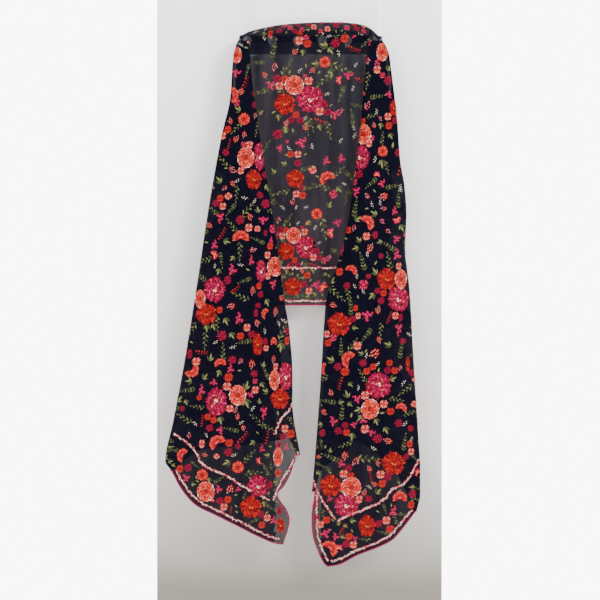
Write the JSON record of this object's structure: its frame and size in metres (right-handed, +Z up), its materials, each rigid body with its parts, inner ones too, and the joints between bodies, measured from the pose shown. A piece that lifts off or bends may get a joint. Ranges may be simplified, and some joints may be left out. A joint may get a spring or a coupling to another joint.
{
  "type": "dupatta hung on an over-door peg rack",
  "caption": "Sheer embroidered dupatta hung shawl-fashion over an over-door rack with disc-ended pegs, its folded ends falling past each side.",
  "frame": {"origin": "on top of the door, at its front edge, midway between the two straps", "axes": "+Z up, -Y towards the viewer and out of the door's front face, +X to the viewer's right"},
  "size_m": [0.6158, 0.1362, 1.4294],
  "materials": {
    "georgette": "sheer navy georgette with dense thread embroidery",
    "piping": "satin bound edge",
    "white_paint": "satin white paint"
  },
  "bodies": {
    "root": {"cloth_middle": "georgette", "cloth_top_roll": "georgette", "cloth_left_fall": "georgette", "cloth_right_fall": "georgette", "piping_middle": "piping", "piping_left": "piping", "piping_right": "piping", "strap_left": "white_paint", "strap_right": "white_paint", "rail": "white_paint", "peg_1": "white_paint", "peg_2": "white_paint", "peg_3": "white_paint", "peg_4": "white_paint", "peg_5": "white_paint", "peg_6": "white_paint"}
  },
  "joints": []
}
